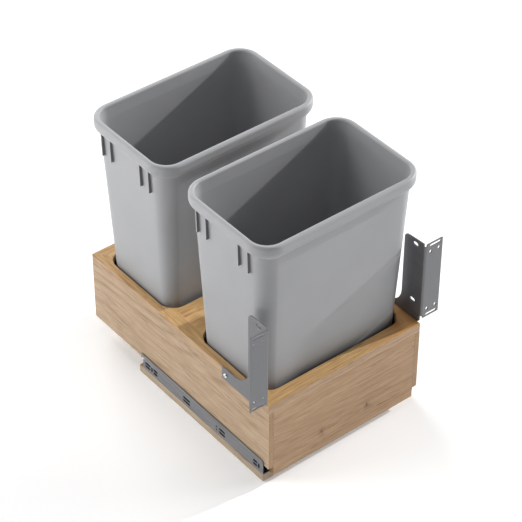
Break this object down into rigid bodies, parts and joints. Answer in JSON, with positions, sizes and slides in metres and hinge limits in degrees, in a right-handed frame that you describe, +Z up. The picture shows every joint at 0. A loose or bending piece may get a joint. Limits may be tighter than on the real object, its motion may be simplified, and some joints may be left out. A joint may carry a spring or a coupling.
{
  "type": "pull-out waste bin cabinet insert",
  "caption": "Wooden tray on ball-bearing slides over a base board, with rimmed bins standing in its cut-outs and slotted brackets that carry a cabinet door.",
  "frame": {"origin": "on the floor under the middle of the tray, midway across its width and midway along its depth", "axes": "+X to the user's right, -Y towards the user and the way the tray pulls out, +Z up"},
  "size_m": [0.455, 0.556, 0.551],
  "materials": {
    "wood": "oak-coloured straight grain, matt lacquer",
    "wood_top": "oak-coloured straight grain, a little yellower, matt lacquer",
    "rail_steel": "zinc-plated sheet, dull grey",
    "slide_steel": "zinc-plated sheet, satin",
    "bracket_steel": "grey powder coat, satin",
    "screw": "bright zinc",
    "cage": "dark grey, matt",
    "bin_plastic": "mid grey, fine matt"
  },
  "bodies": {
    "base": {"base_board": "wood", "rail_left": "rail_steel", "cabinet_member_left": "slide_steel", "rail_screw_left_1": "screw", "rail_screw_left_2": "screw", "rail_screw_left_3": "screw", "rail_right": "rail_steel", "cabinet_member_right": "slide_steel", "rail_screw_right_1": "screw", "rail_screw_right_2": "screw", "rail_screw_right_3": "screw"},
    "tray": {"tray_top": "wood_top", "tray_front": "wood", "tray_back": "wood", "tray_bottom": "wood", "tray_side_left": "wood", "cleat_left": "wood", "drawer_member_left": "slide_steel", "door_bracket_left": "bracket_steel", "drawer_screw_left_1": "screw", "drawer_screw_left_2": "screw", "bracket_screw_left_1": "screw", "bracket_screw_left_2": "screw", "tray_side_right": "wood", "cleat_right": "wood", "drawer_member_right": "slide_steel", "door_bracket_right": "bracket_steel", "drawer_screw_right_1": "screw", "drawer_screw_right_2": "screw", "bracket_screw_right_1": "screw", "bracket_screw_right_2": "screw"},
    "outer_cage_left": {"outer_cage_left": "cage"},
    "middle_left": {"middle_member_left": "slide_steel"},
    "inner_cage_left": {"inner_cage_left": "cage"},
    "outer_cage_right": {"outer_cage_right": "cage"},
    "middle_right": {"middle_member_right": "slide_steel"},
    "inner_cage_right": {"inner_cage_right": "cage"},
    "bin_front": {"bin_front": "bin_plastic"},
    "bin_rear": {"bin_rear": "bin_plastic"}
  },
  "joints": [
    {"name": "tray_slide", "type": "slide", "parent": "base", "child": "tray", "axis": [0, -1, 0], "range_m": [0, 0.36]},
    {"name": "outer_cage_left_slide", "type": "slide", "parent": "base", "child": "outer_cage_left", "axis": [0, -1, 0], "range_m": [0, 0.09]},
    {"name": "middle_left_slide", "type": "slide", "parent": "base", "child": "middle_left", "axis": [0, -1, 0], "range_m": [0, 0.18]},
    {"name": "inner_cage_left_slide", "type": "slide", "parent": "base", "child": "inner_cage_left", "axis": [0, -1, 0], "range_m": [0, 0.27]},
    {"name": "outer_cage_right_slide", "type": "slide", "parent": "base", "child": "outer_cage_right", "axis": [0, -1, 0], "range_m": [0, 0.09]},
    {"name": "middle_right_slide", "type": "slide", "parent": "base", "child": "middle_right", "axis": [0, -1, 0], "range_m": [0, 0.18]},
    {"name": "inner_cage_right_slide", "type": "slide", "parent": "base", "child": "inner_cage_right", "axis": [0, -1, 0], "range_m": [0, 0.27]},
    {"name": "bin_front_lift", "type": "slide", "parent": "tray", "child": "bin_front", "axis": [0, 0, 1], "range_m": [0, 0.16]},
    {"name": "bin_rear_lift", "type": "slide", "parent": "tray", "child": "bin_rear", "axis": [0, 0, 1], "range_m": [0, 0.16]}
  ],
  "couplings": [
    {"joint": "outer_cage_left_slide", "follows": "tray_slide", "ratio": 0.25},
    {"joint": "middle_left_slide", "follows": "tray_slide", "ratio": 0.5},
    {"joint": "inner_cage_left_slide", "follows": "tray_slide", "ratio": 0.75},
    {"joint": "outer_cage_right_slide", "follows": "tray_slide", "ratio": 0.25},
    {"joint": "middle_right_slide", "follows": "tray_slide", "ratio": 0.5},
    {"joint": "inner_cage_right_slide", "follows": "tray_slide", "ratio": 0.75}
  ]
}
